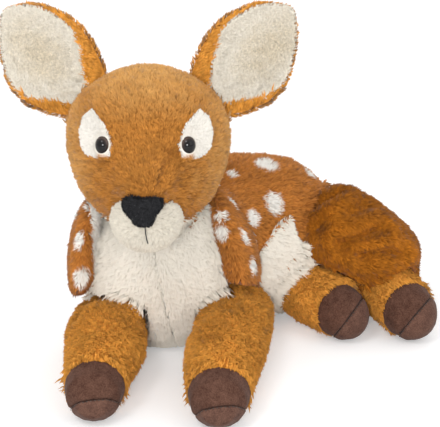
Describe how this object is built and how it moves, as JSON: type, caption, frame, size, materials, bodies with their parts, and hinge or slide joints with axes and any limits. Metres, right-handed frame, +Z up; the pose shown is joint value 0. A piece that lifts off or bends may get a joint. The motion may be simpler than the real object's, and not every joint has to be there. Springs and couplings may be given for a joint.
{
  "type": "plush fawn",
  "caption": "Stuffed plush fawn lying on its belly, with a spotted body, cream chest, cupped ears, safety eyes and suede hooves; head, ears, legs and tail flex at their seams.",
  "frame": {"origin": "on the floor, under the torso's spine, on the flat of the belly", "axes": "+Z up from the floor; -Y the way the head looks; +X the fawn's own left, to which its body bends"},
  "size_m": [0.4006, 0.4024, 0.3213],
  "materials": {
    "spotted_fur": "medium-pile plush, red-brown with airbrushed white spots",
    "brown_fur": "medium-pile plush, orange-brown",
    "cream_fur": "short-pile plush, cream",
    "ear_lining": "short curly pile, cream",
    "hoof_suede": "brushed suede cloth, dark brown",
    "sole_suede": "brushed suede cloth, lighter brown",
    "black_thread": "satin-stitched thread, black",
    "eye_plastic": "polished, dark brown with a black pupil",
    "washer_plastic": "moulded, natural white",
    "pouch_cloth": "plain woven cotton"
  },
  "bodies": {
    "torso": {"torso": "spotted_fur", "rump": "brown_fur", "left_thigh": "brown_fur", "left_upper_foreleg": "spotted_fur", "right_upper_foreleg": "spotted_fur", "left_bib_panel": "cream_fur", "right_bib_panel": "cream_fur", "belly_panel": "cream_fur", "pellet_pouch": "pouch_cloth"},
    "neck": {"neck": "cream_fur"},
    "head": {"head": "brown_fur", "jaw_gusset": "cream_fur", "muzzle": "cream_fur", "nose": "black_thread", "mouth_stitch": "black_thread", "left_eye": "eye_plastic", "right_eye": "eye_plastic", "left_eye_washer": "washer_plastic", "right_eye_washer": "washer_plastic", "left_eye_patch": "cream_fur", "right_eye_patch": "cream_fur"},
    "left_ear": {"left_ear_back": "brown_fur", "left_ear_lining": "ear_lining"},
    "right_ear": {"right_ear_back": "brown_fur", "right_ear_lining": "ear_lining"},
    "left_foreleg": {"left_foreleg": "brown_fur", "left_fore_hoof_upper": "hoof_suede", "left_fore_hoof_sole": "sole_suede"},
    "right_foreleg": {"right_foreleg": "brown_fur", "right_fore_hoof_upper": "hoof_suede", "right_fore_hoof_sole": "sole_suede"},
    "left_hindleg": {"left_hindleg": "brown_fur", "left_hind_hoof_upper": "hoof_suede", "left_hind_hoof_sole": "sole_suede"},
    "right_hindleg": {"right_hindleg": "brown_fur", "right_hind_hoof_upper": "hoof_suede", "right_hind_hoof_sole": "sole_suede"},
    "tail": {"tail_top": "brown_fur", "tail_underside": "cream_fur"}
  },
  "joints": [
    {"name": "head_nod", "type": "hinge", "parent": "torso", "child": "neck", "pos_m": [-0.02797, -0.04995, 0.15], "axis": [1, 0, 0], "range_deg": [-8, 8], "stiffness_Nm_per_rad": 3},
    {"name": "head_turn", "type": "hinge", "parent": "neck", "child": "head", "pos_m": [-0.02797, -0.04995, 0.15], "axis": [0, 0, 1], "range_deg": [-20, 20], "stiffness_Nm_per_rad": 0.8},
    {"name": "left_ear_fold", "type": "hinge", "parent": "head", "child": "left_ear", "pos_m": [0.02842, -0.05608, 0.24795], "axis": [0.7207, -0.1999, -0.6638], "range_deg": [-20, 15], "stiffness_Nm_per_rad": 0.1},
    {"name": "right_ear_fold", "type": "hinge", "parent": "head", "child": "right_ear", "pos_m": [-0.08479, -0.05607, 0.24753], "axis": [0.709, 0.1999, 0.6763], "range_deg": [-20, 15], "stiffness_Nm_per_rad": 0.1},
    {"name": "left_foreleg_lift", "type": "hinge", "parent": "torso", "child": "left_foreleg", "pos_m": [0.05349, -0.05198, 0.02914], "axis": [1, 0, 0], "range_deg": [-12, 4], "stiffness_Nm_per_rad": 1.5},
    {"name": "right_foreleg_lift", "type": "hinge", "parent": "torso", "child": "right_foreleg", "pos_m": [-0.07104, -0.05198, 0.0229], "axis": [1, 0, 0], "range_deg": [-12, 4], "stiffness_Nm_per_rad": 1.5},
    {"name": "left_hindleg_swing", "type": "hinge", "parent": "torso", "child": "left_hindleg", "pos_m": [0.19703, 0.00398, 0.0305], "axis": [0, 0, 1], "range_deg": [0, 14], "stiffness_Nm_per_rad": 0.6},
    {"name": "right_hindleg_swing", "type": "hinge", "parent": "torso", "child": "right_hindleg", "pos_m": [0.11513, 0.01208, 0.0305], "axis": [0, 0, 1], "range_deg": [-14, 0], "stiffness_Nm_per_rad": 0.6},
    {"name": "tail_flick", "type": "hinge", "parent": "torso", "child": "tail", "pos_m": [0.17969, 0.1003, 0.0544], "axis": [0.9903, -0.1392, 0], "range_deg": [-20, 20], "stiffness_Nm_per_rad": 0.05}
  ]
}
